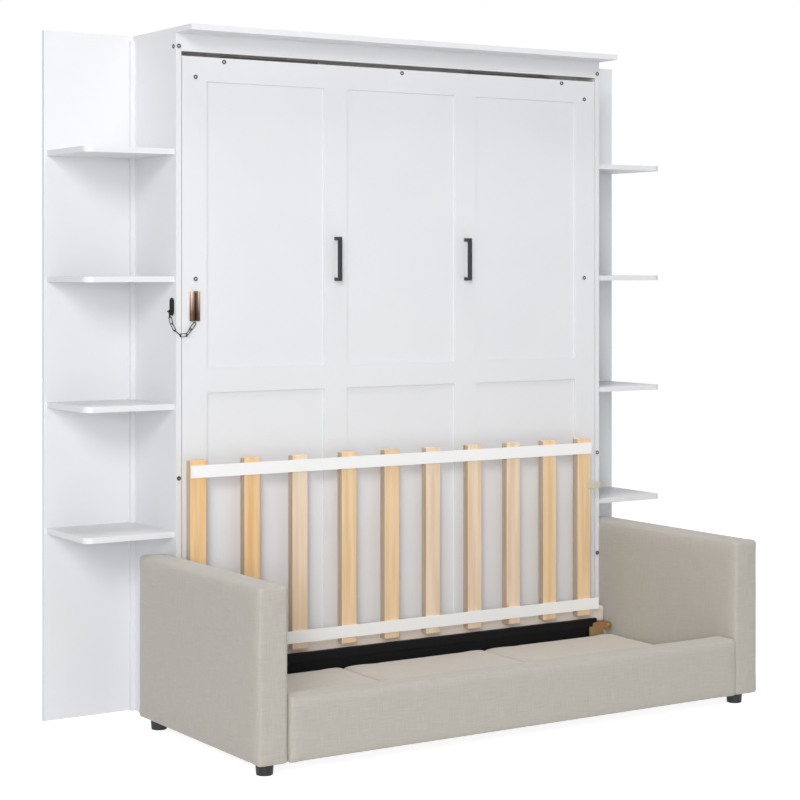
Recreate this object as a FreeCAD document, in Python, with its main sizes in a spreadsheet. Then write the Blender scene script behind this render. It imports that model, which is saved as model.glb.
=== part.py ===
import FreeCAD, Part
import math
import os
import re
import Sketcher

# Wall bed with a sofa in front of it. A cabinet with open shelves on both sides holds a bed
# that folds down over the seat, and a slatted backrest folds flat ahead of the bed.
# X runs along the wall, +Y points at the wall, +Z up; the origin is on the floor, mid box.

# Driving sizes in millimetres, each set once and bound through the sheet
SIZES = {
    # cabinet
    "overall_height": 2220,
    "cabinet_depth": 332,
    "panel_thick": 18,
    "top_overhang": 105,
    "header_height": 57,
    "header_slot": 15,
    "rear_rail_height": 110,
    "wall_hole_spacing": 1200,
    "wall_hole_diameter": 8,
    # side shelves
    "wing_width": 314,
    "wing_thick": 15,
    "batten_width": 15,
    "batten_depth": 15,
    "shelf_thick": 18,
    "shelf_first": 620,
    "shelf_pitch": 405,
    "shelf_setback": 14,
    "shelf_end_inset": 10,
    "shelf_corner_radius": 30,
    # bed face
    "face_width": 1660,
    "face_gap": 2.5,
    "face_low": 56,
    "stile_width": 89,
    "strip_thick": 6,
    "board_thick": 12,
    "cross_rail_width": 78,
    "middle_rail_low": 1058,
    # bed frame behind the face
    "bed_rail_thick": 25,
    "bed_rail_depth": 120,
    "bed_rail_inset": 35.5,
    "foot_rail_thick": 24,
    "head_rail_thick": 12,
    "bed_slat_width": 70,
    "bed_slat_thick": 18,
    # bed pivot
    "pivot_set_back": 30,
    "pivot_height": 303,
    "pivot_pin_diameter": 16,
    "pivot_flange_diameter": 22,
    "pivot_flange_thick": 3,
    "pivot_play": 0.05,
    "hinge_plate_thick": 5,
    "hinge_plate_width": 80,
    "hinge_plate_height": 120,
    "pivot_end_gap": 0.5,
    # lift struts between the bed rails and the cabinet sides
    "strut_base_set_back": 278,
    "strut_base_height": 900,
    "strut_bed_set_back": 100,
    "strut_bed_height": 110,
    "strut_tube_diameter": 22,
    "strut_tube_wall": 2,
    "strut_tube_length": 480,
    "strut_rod_diameter": 10,
    "strut_rod_overlap": 60,
    "strut_gland_length": 20,
    "strut_piston_length": 15,
    "strut_eye_diameter": 24,
    "strut_eye_width": 12,
    "strut_stud_diameter": 8,
    "strut_side_gap": 6.5,
    "strut_boss_diameter": 16,
    "strut_boss_length": 11,
    # folding feet on the bed's foot rail
    "leg_width": 40,
    "leg_thick": 10,
    "leg_pivot_across": 640,
    "leg_set_back": 60,
    "leg_lift": 1,
    "leg_floor_gap": 1,
    "leg_pin_diameter": 10,
    "leg_pin_length": 22,
    # bar handles
    "handle_length": 146,
    "handle_bar": 11,
    "handle_reach": 33,
    "handle_middle": 1487,
    "handle_round": 2.5,
    # bolt heads
    "bolt_head_diameter": 14,
    "bolt_head_thick": 2,
    "face_bolt_top_drop": 12,
    "face_bolt_top_across": 680,
    "face_bolt_upper_drop": 65,
    "face_bolt_lower": 1422,
    "edge_bolt_upper_drop": 60,
    "edge_bolt_middle": 790,
    "edge_bolt_lower": 427,
    # chain guard
    "track_width": 32,
    "track_height": 95,
    "track_depth": 12,
    "track_low": 1288,
    "track_inset": 42.5,
    "track_round": 3,
    "channel_width": 9,
    "channel_floor": 2,
    "channel_lip": 2.5,
    "channel_slot": 4.4,
    "channel_end_wall": 6,
    "knob_diameter": 6.4,
    "knob_rise": 8,
    "neck_length": 15,
    "neck_diameter": 2,
    "link_wire": 2.5,
    "link_pitch": 24.5,
    "link_bend_radius": 4.8,
    "link_slack": 2.6,
    "hook_plate_height": 57,
    "hook_plate_width": 28,
    "hook_plate_thick": 3,
    "hook_stud_diameter": 4,
    "hook_stud_length": 15,
    # sofa
    "seat_reach": 733,
    "arm_thick": 98,
    "arm_top": 544,
    "arm_back": 70,
    "arm_front": 723,
    "sofa_lift": 38,
    "upholstery_round": 12,
    "front_rail_thick": 95,
    "front_rail_top": 227,
    "front_rail_round": 18,
    "back_rail_gap": 2,
    "back_rail_thick": 44.5,
    "back_rail_top": 155,
    "back_rail_round": 8,
    "deck_low": 100,
    "deck_thick": 12,
    "pad_height": 38,
    "pad_gap": 4,
    "pad_end_gap": 3,
    "pad_back_gap": 5,
    "pad_front_gap": 3,
    "pad_corner_radius": 28,
    "pad_side_draw": 5,
    "pad_edge_inset": 7,
    "pad_crown_inset": 60,
    "pad_edge_drop": 10,
    "pad_waist_rise": 14,
    "foot_diameter": 50,
    "foot_taper": 2,
    "foot_front_set": 59,
    "foot_back_set": 48,
    "bar_web_half": 765,
    "bar_head_half": 792,
    "bar_low": 114,
    "bar_high": 204,
    "bar_step": 174,
    "bar_web_thick": 8,
    "bar_head_thick": 16,
    # backrest
    "foot_board_reach": 38.5,
    "foot_board_thick": 30,
    "foot_board_low": 185,
    "foot_board_high": 241,
    "foot_board_end_gap": 4.5,
    "foot_board_round": 8,
    "back_slat_width": 57.6,
    "back_slat_thick": 30,
    "back_slat_low": 219,
    "back_slat_length": 631,
    "back_slat_outer": 806.2,
    "back_rail_height": 39,
    "back_strip_thick": 6,
    "back_rail_rise": 21.5,
    "back_rail_drop": 15,
    "lower_rail_left": 838,
    "lower_rail_right": 790,
    "upper_rail_left": 833,
    "upper_rail_right": 758,
    "strap_across": 743.5,
    "strap_length": 59,
    "strap_height": 23,
    "strap_thick": 3,
    "strap_height_above": 671,
    # backrest hinges
    "back_pivot_reach": 90.5,
    "back_pivot_height": 181,
    "bracket_across": 755,
    "bracket_step_across": 770,
    "bracket_low": 118,
    "bracket_step": 176,
    "bracket_high": 190,
    "bracket_thick": 4,
    "bracket_round": 10,
    "ear_across": 814,
    "ear_thick": 4,
    "ear_radius": 13,
    "back_pin_diameter": 10,
    "pin_head_diameter": 16,
    "pin_head_thick": 5,
    "arm_eye_radius": 12,
    "arm_plate_thick": 5,
    "arm_plate_gap": 3,
    "arm_plate_height": 16,
    "arm_flange_width": 26,
    "arm_flange_thick": 4,
    "arm_flange_inset": 3,
    # one overrun for every cut
    "overrun": 2,
}

# Counts of what repeats, and of the flat sides on small round pieces
SHELF_COUNT = 4
FIELD_COUNT = 3
BED_SLAT_COUNT = 13
PAD_COUNT = 3
BOLT_SIDES = 12
WIRE_SIDES = 8
BEND_STEPS = 6

# Headings of the guard chain's links from the knob on: the turn in plan from -X towards the
# wall, and the rise, in degrees. Links near the hook are pulled tight, so they have less slack.
# The links up to NEAR_LINKS hang from the bed's track.
LINK_TURNS = (-1, -18, -10, 18, 71, 91, 103)
LINK_RISES = (-51, -47, -2, 41, 55, 62, 53)
LINK_SLACK_SHARES = (1, 1, 1, 1, 1, 0.2, 0.2)
NEAR_LINKS = 2

# Middles of the backrest slats as shares of the outer one's distance, as uneven as in the photo
BACK_SLAT_SHARES = (-1, -0.761, -0.542, -0.31, -0.103, 0.103, 0.316, 0.519, 0.715, 0.904)

# Places worked out from the driving sizes
PLACES = {
    "wall_y": "(cabinet_depth + seat_reach) / 2",
    "face_y": "wall_y - cabinet_depth",
    "half_face": "face_width / 2",
    "half_inner": "half_face + face_gap",
    "half_outer": "half_inner + panel_thick",
    "half_overall": "half_outer + wing_width",
    "under_top": "overall_height - panel_thick",
    "header_low": "under_top - header_height",
    "face_top": "header_low - header_slot",
    "wing_front_y": "wall_y - wing_thick",
    "shelf_front_y": "face_y + shelf_setback",
    "shelf_reach": "wing_width - shelf_end_inset",
    "shelf_deep": "wing_front_y - shelf_front_y",
    "field_width": "(face_width - 4 * stile_width) / 3",
    "board_joint": "field_width / 2 + stile_width / 2",
    "board_front_y": "face_y + strip_thick",
    "board_back_y": "board_front_y + board_thick",
    "rail_outer": "half_face - bed_rail_inset",
    "rail_inner": "rail_outer - bed_rail_thick",
    "rail_back_y": "board_back_y + bed_rail_depth",
    "pivot_y": "face_y + pivot_set_back",
    "strut_base_y": "face_y + strut_base_set_back",
    "strut_bed_y": "face_y + strut_bed_set_back",
    "strut_x": "half_inner - strut_side_gap - strut_tube_diameter / 2",
    "strut_fall": "strut_base_height - strut_bed_height",
    "strut_length": "sqrt((strut_base_y - strut_bed_y) ^ 2 + strut_fall ^ 2)",
    "strut_bore": "strut_tube_diameter - 2 * strut_tube_wall",
    "leg_y": "face_y + leg_set_back",
    "leg_low": "face_top + leg_lift",
    "leg_length": "pivot_height + leg_set_back - pivot_set_back - leg_floor_gap",
    "track_x": "track_inset - half_face",
    "channel_back_y": "face_y - channel_floor",
    "channel_front_y": "face_y - track_depth + channel_lip",
    "knob_y": "(channel_back_y + channel_front_y) / 2",
    "knob_z": "track_low + knob_rise",
    "arm_inner": "half_outer",
    "arm_outer": "arm_inner + arm_thick",
    "arm_front_y": "face_y - arm_front",
    "arm_back_y": "face_y + arm_back",
    "seat_front_y": "face_y - seat_reach",
    "front_rail_back_y": "seat_front_y + front_rail_thick",
    "back_rail_back_y": "face_y - back_rail_gap",
    "back_rail_front_y": "back_rail_back_y - back_rail_thick",
    "deck_high": "deck_low + deck_thick",
    "bar_front_y": "back_rail_front_y - bar_head_thick",
    "pad_back_y": "bar_front_y - pad_back_gap",
    "pad_front_y": "front_rail_back_y + pad_front_gap",
    "pad_width": "(2 * arm_inner - 2 * pad_end_gap - 2 * pad_gap) / 3",
    "foot_board_front_y": "face_y - foot_board_reach",
    "foot_board_back_y": "foot_board_front_y + foot_board_thick",
    "foot_board_half": "arm_inner - foot_board_end_gap",
    "slat_back_y": "foot_board_front_y",
    "slat_front_y": "slat_back_y - back_slat_thick",
    "strip_front_y": "slat_front_y - back_strip_thick",
    "back_slat_high": "back_slat_low + back_slat_length",
    "lower_rail_low": "back_slat_low + back_rail_rise",
    "upper_rail_high": "back_slat_high - back_rail_drop",
    "back_pivot_y": "face_y - back_pivot_reach",
    "arm_plate_inner": "ear_across + ear_thick + arm_plate_gap",
    "arm_plate_outer": "arm_plate_inner + arm_plate_thick",
}

FUNCTIONS = ("sqrt",)
WORD = re.compile(r"[a-z][a-z_0-9]*")

doc = FreeCAD.newDocument("WallBedWithSofa")
sheet = doc.addObject("Spreadsheet::Sheet", "Dims")
for row, (alias, number) in enumerate(SIZES.items(), start=1):
    sheet.set(f"A{row}", alias)
    sheet.set(f"B{row}", str(number))
    sheet.setAlias(f"B{row}", alias)
doc.recompute()

nodes = []


def expand(text):
    """Write a sum of named sizes and places as one on the sheet's cells."""
    def swap(match):
        word = match.group(0)
        if word in FUNCTIONS:
            return word
        if word in PLACES:
            return "(" + expand(PLACES[word]) + ")"
        return "Dims." + word
    return WORD.sub(swap, text)


def bind(piece, prop, text):
    piece.setExpression(prop, expand(text))


def size(text):
    return float(sheet.evalExpression(expand(text)))


def place(piece, x, y, z):
    bind(piece, "Placement.Base.x", x)
    bind(piece, "Placement.Base.y", y)
    bind(piece, "Placement.Base.z", z)


def turn(piece, axis, degrees):
    spin = FreeCAD.Rotation(FreeCAD.Vector(*axis), degrees)
    piece.Placement = FreeCAD.Placement(FreeCAD.Vector(), spin)


def node(piece, label):
    """Hand a finished piece in under its own name."""
    piece.Label = label
    nodes.append(piece)
    return piece


def block(x0, x1, y0, y1, z0, z1):
    box = doc.addObject("Part::Box", "Block")
    bind(box, "Length", f"({x1}) - ({x0})")
    bind(box, "Width", f"({y1}) - ({y0})")
    bind(box, "Height", f"({z1}) - ({z0})")
    place(box, x0, y0, z0)
    return box


def rod(diameter, length, axis, x, y, z):
    """A round bar that starts at a point and runs along an axis."""
    bar = doc.addObject("Part::Cylinder", "Rod")
    bind(bar, "Radius", f"({diameter}) / 2")
    bind(bar, "Height", length)
    aim = FreeCAD.Rotation(FreeCAD.Vector(0, 0, 1), FreeCAD.Vector(*axis))
    bar.Placement = FreeCAD.Placement(FreeCAD.Vector(), aim)
    place(bar, x, y, z)
    return bar


def fuse(*pieces):
    whole = doc.addObject("Part::MultiFuse", "Fuse")
    whole.Shapes = list(pieces)
    return whole


def cut(base, tool):
    rest = doc.addObject("Part::Cut", "Cut")
    rest.Base = base
    rest.Tool = tool
    return rest


def group(*pieces):
    """Separate solids of one kind that share a node."""
    several = doc.addObject("Part::Compound", "Group")
    several.Links = list(pieces)
    return several


def round_edges(piece, radius, wanted):
    """Round the edges of a solid that the test picks, by a named radius."""
    doc.recompute()
    rounded = doc.addObject("Part::Fillet", "Rounded")
    rounded.Base = piece
    picks = []
    for index, edge in enumerate(piece.Shape.Edges, start=1):
        if wanted(edge):
            picks.append((index, size(radius), size(radius)))
    rounded.Edges = picks
    return rounded


def runs_along(edge, axis):
    """True for a straight edge along one of the axes."""
    ends = [vertex.Point for vertex in edge.Vertexes]
    if len(ends) < 2:
        return False
    way = (ends[1] - ends[0]).normalize()
    return abs(way.dot(FreeCAD.Vector(*axis))) > 0.999


def profile(label, plane, points, depth):
    """A body padded from one closed outline of straight sides, in its own corner."""
    body = doc.addObject("PartDesign::Body", "Body")
    sketch = body.newObject("Sketcher::SketchObject", "Outline")
    origin_plane = [part for part in body.Origin.OriginFeatures if part.Role == plane][0]
    sketch.AttachmentSupport = (origin_plane, "")
    sketch.MapMode = "FlatFace"
    corners = [FreeCAD.Vector(size(across), size(along), 0) for across, along in points]
    count = len(corners)
    for index in range(count):
        side = Part.LineSegment(corners[index], corners[(index + 1) % count])
        sketch.addGeometry(side, False)
    for index in range(count):
        sketch.addConstraint(Sketcher.Constraint("Coincident", index, 2, (index + 1) % count, 1))
    for index, (across, along) in enumerate(points):
        for kind, text in (("DistanceX", across), ("DistanceY", along)):
            number = sketch.addConstraint(Sketcher.Constraint(kind, -1, 1, index, 1, size(text)))
            name = f"{kind}{index}"
            sketch.renameConstraint(number, name)
            bind(sketch, f"Constraints.{name}", text)
    pad = body.newObject("PartDesign::Pad", "Pad")
    pad.Profile = sketch
    bind(pad, "Length", depth)
    sketch.Visibility = False
    doc.recompute()
    body.Label = label
    return body


def soften(body, radius, wanted):
    """Round picked edges of a body with a fillet of a named radius."""
    base = body.Tip
    names = []
    for index, edge in enumerate(base.Shape.Edges, start=1):
        if wanted(edge):
            names.append(f"Edge{index}")
    fillet = body.newObject("PartDesign::Fillet", "Fillet")
    fillet.Base = (base, names)
    bind(fillet, "Radius", radius)
    doc.recompute()
    return body


def both_sides(name, make):
    """A left and a right piece from one description; side is the sign of X."""
    for side, word in (("-", "left"), ("", "right")):
        node(make(side), f"{name}_{word}")


def span(side, inner, outer):
    """The two X ends of a piece that lies between two distances from the middle."""
    if side:
        return f"-({outer})", f"-({inner})"
    return inner, outer


# Cabinet: two sides on the floor, a top board that overhangs the front, a header and two
# rear rails between the sides. The upper rail is bored for the wall bolts.
both_sides("side_panel", lambda side: block(
    *span(side, "half_inner", "half_outer"), "face_y", "wall_y", "0", "under_top"))
node(block("-half_outer", "half_outer", "face_y - top_overhang", "wall_y", "under_top",
           "overall_height"), "top_board")
node(block("-half_inner", "half_inner", "face_y", "face_y + panel_thick", "header_low",
           "under_top"), "header_board")
upper_rail = block("-half_inner", "half_inner", "wall_y - panel_thick", "wall_y",
                   "under_top - rear_rail_height", "under_top")
for side in ("-", ""):
    upper_rail = cut(upper_rail, rod(
        "wall_hole_diameter", "panel_thick + 2 * overrun", (0, 1, 0), f"{side}wall_hole_spacing / 2",
        "wall_y - panel_thick - overrun", "under_top - rear_rail_height / 2"))
node(upper_rail, "rear_rail_upper")
node(block("-half_inner", "half_inner", "wall_y - panel_thick", "wall_y", "0",
           "rear_rail_height"), "rear_rail_lower")

# Side shelves: a back board on the floor, a corner batten screwed to the cabinet side, and
# shelves let in round the batten, with the outer front corner rounded
both_sides("shelf_back", lambda side: block(
    *span(side, "half_outer", "half_overall"), "wing_front_y", "wall_y", "0", "overall_height"))
node(group(*[block(
    *span(side, "half_outer", "half_outer + batten_width"), "wing_front_y - batten_depth",
    "wing_front_y", "0", "under_top") for side in ("-", "")]), "corner_battens")


def shelf(side, level):
    board = profile("shelf", "XY_Plane", (
        ("0", "0"), ("shelf_reach", "0"), ("shelf_reach", "shelf_deep"),
        ("batten_width", "shelf_deep"), ("batten_width", "shelf_deep - batten_depth"),
        ("0", "shelf_deep - batten_depth")), "shelf_thick")
    corner = FreeCAD.Vector(size("shelf_reach"), 0, 0)
    soften(board, "shelf_corner_radius", lambda edge: runs_along(edge, (0, 0, 1))
           and edge.distToShape(Part.Vertex(corner))[0] < size("overrun"))
    top = f"shelf_first + {level} * shelf_pitch"
    if side:
        turn(board, (0, 1, 0), 180)
        place(board, "-half_outer", "shelf_front_y", top)
    else:
        place(board, "half_outer", "shelf_front_y", f"{top} - shelf_thick")
    return board


both_sides("shelves", lambda side: group(*[shelf(side, level) for level in range(SHELF_COUNT)]))

# Bed face: three boards side by side, with stiles and cross rails planted on their front
BOARD_EDGES = (("-half_face", "-board_joint", "left"), ("-board_joint", "board_joint", "middle"),
               ("board_joint", "half_face", "right"))
for start, end, word in BOARD_EDGES:
    board = block(start, end, "board_front_y", "board_back_y", "face_low", "face_top")
    node(board, f"face_board_{word}")
for index in range(FIELD_COUNT + 1):
    stile_start = f"{index} * (stile_width + field_width) - half_face"
    node(block(stile_start, f"{stile_start} + stile_width", "face_y", "board_front_y", "face_low",
               "face_top"), f"face_stile_{index + 1}")
cross_rails = []
for low in ("face_top - cross_rail_width", "middle_rail_low", "face_low"):
    for index in range(FIELD_COUNT):
        start = f"{index} * (stile_width + field_width) + stile_width - half_face"
        cross_rails.append(block(start, f"{start} + field_width", "face_y", "board_front_y", low,
                                 f"{low} + cross_rail_width"))
node(group(*cross_rails), "face_cross_rails")

# Bed frame behind the face: side, foot and head rails round the mattress, and cross slats
both_sides("bed_rail", lambda side: block(
    *span(side, "rail_inner", "rail_outer"), "board_back_y", "rail_back_y", "face_low",
    "face_top - foot_rail_thick"))
foot_rail = block("-rail_outer", "rail_outer", "board_back_y", "rail_back_y",
                  "face_top - foot_rail_thick", "face_top")
for side in ("-", ""):
    foot_rail = cut(foot_rail, rod(
        "leg_pin_diameter + 2 * pivot_play", "foot_rail_thick + 2 * overrun", (0, 0, 1),
        f"{side}leg_pivot_across", "leg_y", "face_top - foot_rail_thick - overrun"))
node(foot_rail, "foot_rail")
node(block("-rail_inner", "rail_inner", "board_back_y", "rail_back_y", "face_low",
           "face_low + head_rail_thick"), "head_rail")
slats = []
for index in range(BED_SLAT_COUNT):
    first = "face_low + head_rail_thick"
    last = "face_top - foot_rail_thick - bed_slat_width"
    low = f"{first} + (({last}) - ({first})) * {index} / {BED_SLAT_COUNT - 1}"
    slats.append(block("-rail_inner", "rail_inner", "board_back_y", "board_back_y + bed_slat_thick",
                       low, f"{low} + bed_slat_width"))
node(group(*slats), "bed_slats")


# Pivot: a flanged stud on each cabinet side turns in a bored plate on the bed rail. Each side
# also has the stud that carries the lift strut's tube, and the bed rail the boss at its rod.
def cabinet_fittings(side):
    out = (-1, 0, 0) if side else (1, 0, 0)
    pin = rod("pivot_pin_diameter", "half_inner - rail_outer - pivot_end_gap", out,
              f"{side}(rail_outer + pivot_end_gap)", "pivot_y", "pivot_height")
    flange = rod("pivot_flange_diameter", "pivot_flange_thick", out,
                 f"{side}(half_inner - pivot_flange_thick)", "pivot_y", "pivot_height")
    stud = rod("strut_stud_diameter", "half_inner - strut_x + strut_eye_width / 2", out,
               f"{side}(strut_x - strut_eye_width / 2)", "strut_base_y", "strut_base_height")
    return group(fuse(pin, flange), stud)


def bed_fittings(side):
    out = (-1, 0, 0) if side else (1, 0, 0)
    plate = block(*span(side, "rail_outer", "rail_outer + hinge_plate_thick"), "board_back_y",
                  "board_back_y + hinge_plate_width", "pivot_height - hinge_plate_height / 2",
                  "pivot_height + hinge_plate_height / 2")
    bore = rod("pivot_pin_diameter + 2 * pivot_play", "hinge_plate_thick + 2 * overrun", out,
               f"{side}(rail_outer - overrun)", "pivot_y", "pivot_height")
    boss = rod("strut_boss_diameter", "strut_boss_length", out, f"{side}rail_outer", "strut_bed_y",
               "strut_bed_height")
    return group(cut(plate, bore), boss)


both_sides("cabinet_pivot", cabinet_fittings)
both_sides("bed_pivot", bed_fittings)


# Lift strut: a gas tube that hangs on the cabinet's stud, and a rod with its piston inside.
# Both are turned about their own axis and then laid along the strut's line.
def strut_frame(side):
    down = FreeCAD.Vector(0, size("strut_bed_y - strut_base_y"), size("-strut_fall"))
    aim = FreeCAD.Rotation(FreeCAD.Vector(0, 0, 1), down)
    start = FreeCAD.Vector(size(f"{side}strut_x"), size("strut_base_y"), size("strut_base_height"))
    return FreeCAD.Placement(start, aim)


def turned(outline):
    """A solid of revolution about Z from (radius, height) corners."""
    corners = [FreeCAD.Vector(size(radius), 0, size(height)) for radius, height in outline]
    face = Part.Face(Part.makePolygon(corners + corners[:1]))
    return face.revolve(FreeCAD.Vector(), FreeCAD.Vector(0, 0, 1), 360)


def eye(height, bore):
    """A bored eye across the strut's line, at a height along it."""
    start = FreeCAD.Vector(size("-strut_eye_width / 2"), 0, size(height))
    ring = Part.makeCylinder(size("strut_eye_diameter / 2"), size("strut_eye_width"), start,
                             FreeCAD.Vector(1, 0, 0))
    hole = Part.makeCylinder(size(f"({bore}) / 2"), size("strut_eye_width"), start,
                             FreeCAD.Vector(1, 0, 0))
    return ring, hole


def strut_tube(side):
    ring, hole = eye("0", "strut_stud_diameter + 2 * pivot_play")
    wall = turned((
        ("0", "0"), ("strut_tube_diameter / 2", "strut_eye_diameter / 2"),
        ("strut_tube_diameter / 2", "strut_tube_length"),
        ("strut_rod_diameter / 2 + pivot_play", "strut_tube_length"),
        ("strut_rod_diameter / 2 + pivot_play", "strut_tube_length - strut_gland_length"),
        ("strut_bore / 2", "strut_tube_length - strut_gland_length"),
        ("strut_bore / 2", "strut_eye_diameter"), ("0", "strut_eye_diameter")))
    tube = doc.addObject("Part::Feature", "StrutTube")
    tube.Shape = ring.fuse(wall).cut(hole).removeSplitter()
    tube.Placement = strut_frame(side)
    return tube


def strut_rod(side):
    ring, hole = eye("strut_length", "strut_stud_diameter")
    inner_end = "strut_tube_length - strut_gland_length - strut_rod_overlap"
    stem = turned((
        ("0", inner_end), ("strut_bore / 2 - pivot_play", inner_end),
        ("strut_bore / 2 - pivot_play", f"{inner_end} + strut_piston_length"),
        ("strut_rod_diameter / 2", f"{inner_end} + strut_piston_length"),
        ("strut_rod_diameter / 2", "strut_length"), ("0", "strut_length")))
    piece = doc.addObject("Part::Feature", "StrutRod")
    piece.Shape = ring.fuse(stem).cut(hole).removeSplitter()
    piece.Placement = strut_frame(side)
    return piece


both_sides("strut_tube", strut_tube)
both_sides("strut_rod", strut_rod)


# Folding feet: flat bars that lie on the foot rail inside the slot and swing out on a pin
def folding_leg(side):
    way = -1 if side else 1
    near = f"{side}leg_pivot_across + {way} * leg_width / 2"
    far = f"{side}leg_pivot_across - {way} * leg_length"
    low, high = (near, far) if side else (far, near)
    bar = block(low, high, "leg_y - leg_width / 2", "leg_y + leg_width / 2", "leg_low",
                "leg_low + leg_thick")
    pin = rod("leg_pin_diameter", "leg_pin_length", (0, 0, 1), f"{side}leg_pivot_across", "leg_y",
              "leg_low - leg_pin_length")
    inner_end = size(f"{side}leg_pivot_across")
    rounded = round_edges(bar, "leg_width / 2 - overrun", lambda edge: runs_along(edge, (0, 0, 1))
                          and abs(edge.CenterOfMass.x - inner_end) < size("leg_width"))
    return fuse(rounded, pin)


both_sides("folding_leg", folding_leg)


# Bar handles on the two inner stiles: one bent bar, so a channel outline of even width
def handle(side):
    bar = profile("handle", "YZ_Plane", (
        ("0", "0"), ("handle_reach", "0"), ("handle_reach", "handle_bar"), ("handle_bar", "handle_bar"),
        ("handle_bar", "handle_length - handle_bar"), ("handle_reach", "handle_length - handle_bar"),
        ("handle_reach", "handle_length"), ("0", "handle_length")), "handle_bar")
    soften(bar, "handle_round", lambda edge: edge.BoundBox.YMax < size("handle_bar / 2")
           and not runs_along(edge, (0, 0, 1)))
    place(bar, f"{side}board_joint - handle_bar / 2", "face_y - handle_reach",
          "handle_middle - handle_length / 2")
    return bar


both_sides("pull_handle", handle)


# Bolt heads: on the face, where it is bolted to the bed frame, and on the cabinet's edges
def bolt_head(x, y, z, axis):
    head = doc.addObject("Part::Prism", "BoltHead")
    head.Polygon = BOLT_SIDES
    bind(head, "Circumradius", "bolt_head_diameter / 2")
    bind(head, "Height", "bolt_head_thick")
    aim = FreeCAD.Rotation(FreeCAD.Vector(0, 0, 1), FreeCAD.Vector(*axis))
    head.Placement = FreeCAD.Placement(FreeCAD.Vector(), aim)
    place(head, x, y, z)
    return head


OUT = (0, -1, 0)
top_bolt_z = "face_top - face_bolt_top_drop"
face_bolt_heights = ("face_top - face_bolt_upper_drop", "face_bolt_lower")
edge_bolt_high = "overall_height - edge_bolt_upper_drop"
face_bolts = [bolt_head("0", "face_y", top_bolt_z, OUT)]
edge_bolts = []
for side in ("-", ""):
    face_bolts.append(bolt_head(f"{side}face_bolt_top_across", "face_y", top_bolt_z, OUT))
    for height in face_bolt_heights:
        face_bolts.append(bolt_head(f"{side}(rail_inner + rail_outer) / 2", "face_y", height, OUT))
    for height in (edge_bolt_high, "edge_bolt_middle", "edge_bolt_lower"):
        edge_bolts.append(bolt_head(f"{side}(half_inner + half_outer) / 2", "face_y", height, OUT))
    outward = (-1, 0, 0) if side else (1, 0, 0)
    edge_bolts.append(bolt_head(f"{side}half_outer", "face_y + panel_thick", edge_bolt_high, outward))
node(group(*face_bolts), "face_bolts")
node(group(*edge_bolts), "cabinet_bolts")

# Chain guard: a channelled track on the bed face, open at its lower end
track = block("track_x - track_width / 2", "track_x + track_width / 2", "face_y - track_depth",
              "face_y", "track_low", "track_low + track_height")
track = round_edges(track, "track_round",
                    lambda edge: edge.BoundBox.YMax < size("face_y - track_depth / 2"))
channel = block("track_x - channel_width / 2", "track_x + channel_width / 2", "channel_front_y",
                "channel_back_y", "track_low - overrun", "track_low + track_height - channel_end_wall")
slot = block("track_x - channel_slot / 2", "track_x + channel_slot / 2",
             "face_y - track_depth - overrun", "channel_back_y", "track_low - overrun",
             "track_low + track_height - channel_end_wall")
node(cut(cut(track, channel), slot), "chain_track")

# The oval hook plate on the left cabinet side, with the stud that the last link drops over
chain_starts = [FreeCAD.Vector(size("track_x"), size("knob_y"), size("knob_z - neck_length"))]
for turn_angle, rise_angle in zip(LINK_TURNS, LINK_RISES):
    bearing = math.radians(turn_angle)
    rise = math.radians(rise_angle)
    level = FreeCAD.Vector(-math.cos(bearing), math.sin(bearing), 0) * math.cos(rise)
    heading = level + FreeCAD.Vector(0, 0, math.sin(rise))
    chain_starts.append(chain_starts[-1] + heading * size("link_pitch"))
hook_point = chain_starts[-1] - heading * size("hook_stud_diameter / 2")
hook_shape = Part.makeBox(size("hook_plate_thick"), size("hook_plate_width"),
                          size("hook_plate_height - hook_plate_width"))
hook_shape.translate(FreeCAD.Vector(0, size("-hook_plate_width / 2"),
                                    size("(hook_plate_width - hook_plate_height) / 2")))
for end in ("hook_plate_height - hook_plate_width", "hook_plate_width - hook_plate_height"):
    cap = Part.makeCylinder(size("hook_plate_width / 2"), size("hook_plate_thick"),
                            FreeCAD.Vector(0, 0, size(f"({end}) / 2")), FreeCAD.Vector(1, 0, 0))
    hook_shape = hook_shape.fuse(cap)
hook_shape.translate(FreeCAD.Vector(size("-half_outer - hook_plate_thick"), hook_point.y,
                                    hook_point.z + size("hook_plate_height / 2 - hook_plate_width / 2")))
stud_start = FreeCAD.Vector(size("-half_outer - hook_plate_thick"), hook_point.y, hook_point.z)
hook_stud = Part.makeCylinder(size("hook_stud_diameter / 2"), size("hook_stud_length"), stud_start,
                              FreeCAD.Vector(-1, 0, 0))
hook_plate = doc.addObject("Part::Feature", "HookPlate")
hook_plate.Shape = hook_shape.fuse(hook_stud).removeSplitter()
node(hook_plate, "chain_hook_plate")


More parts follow.
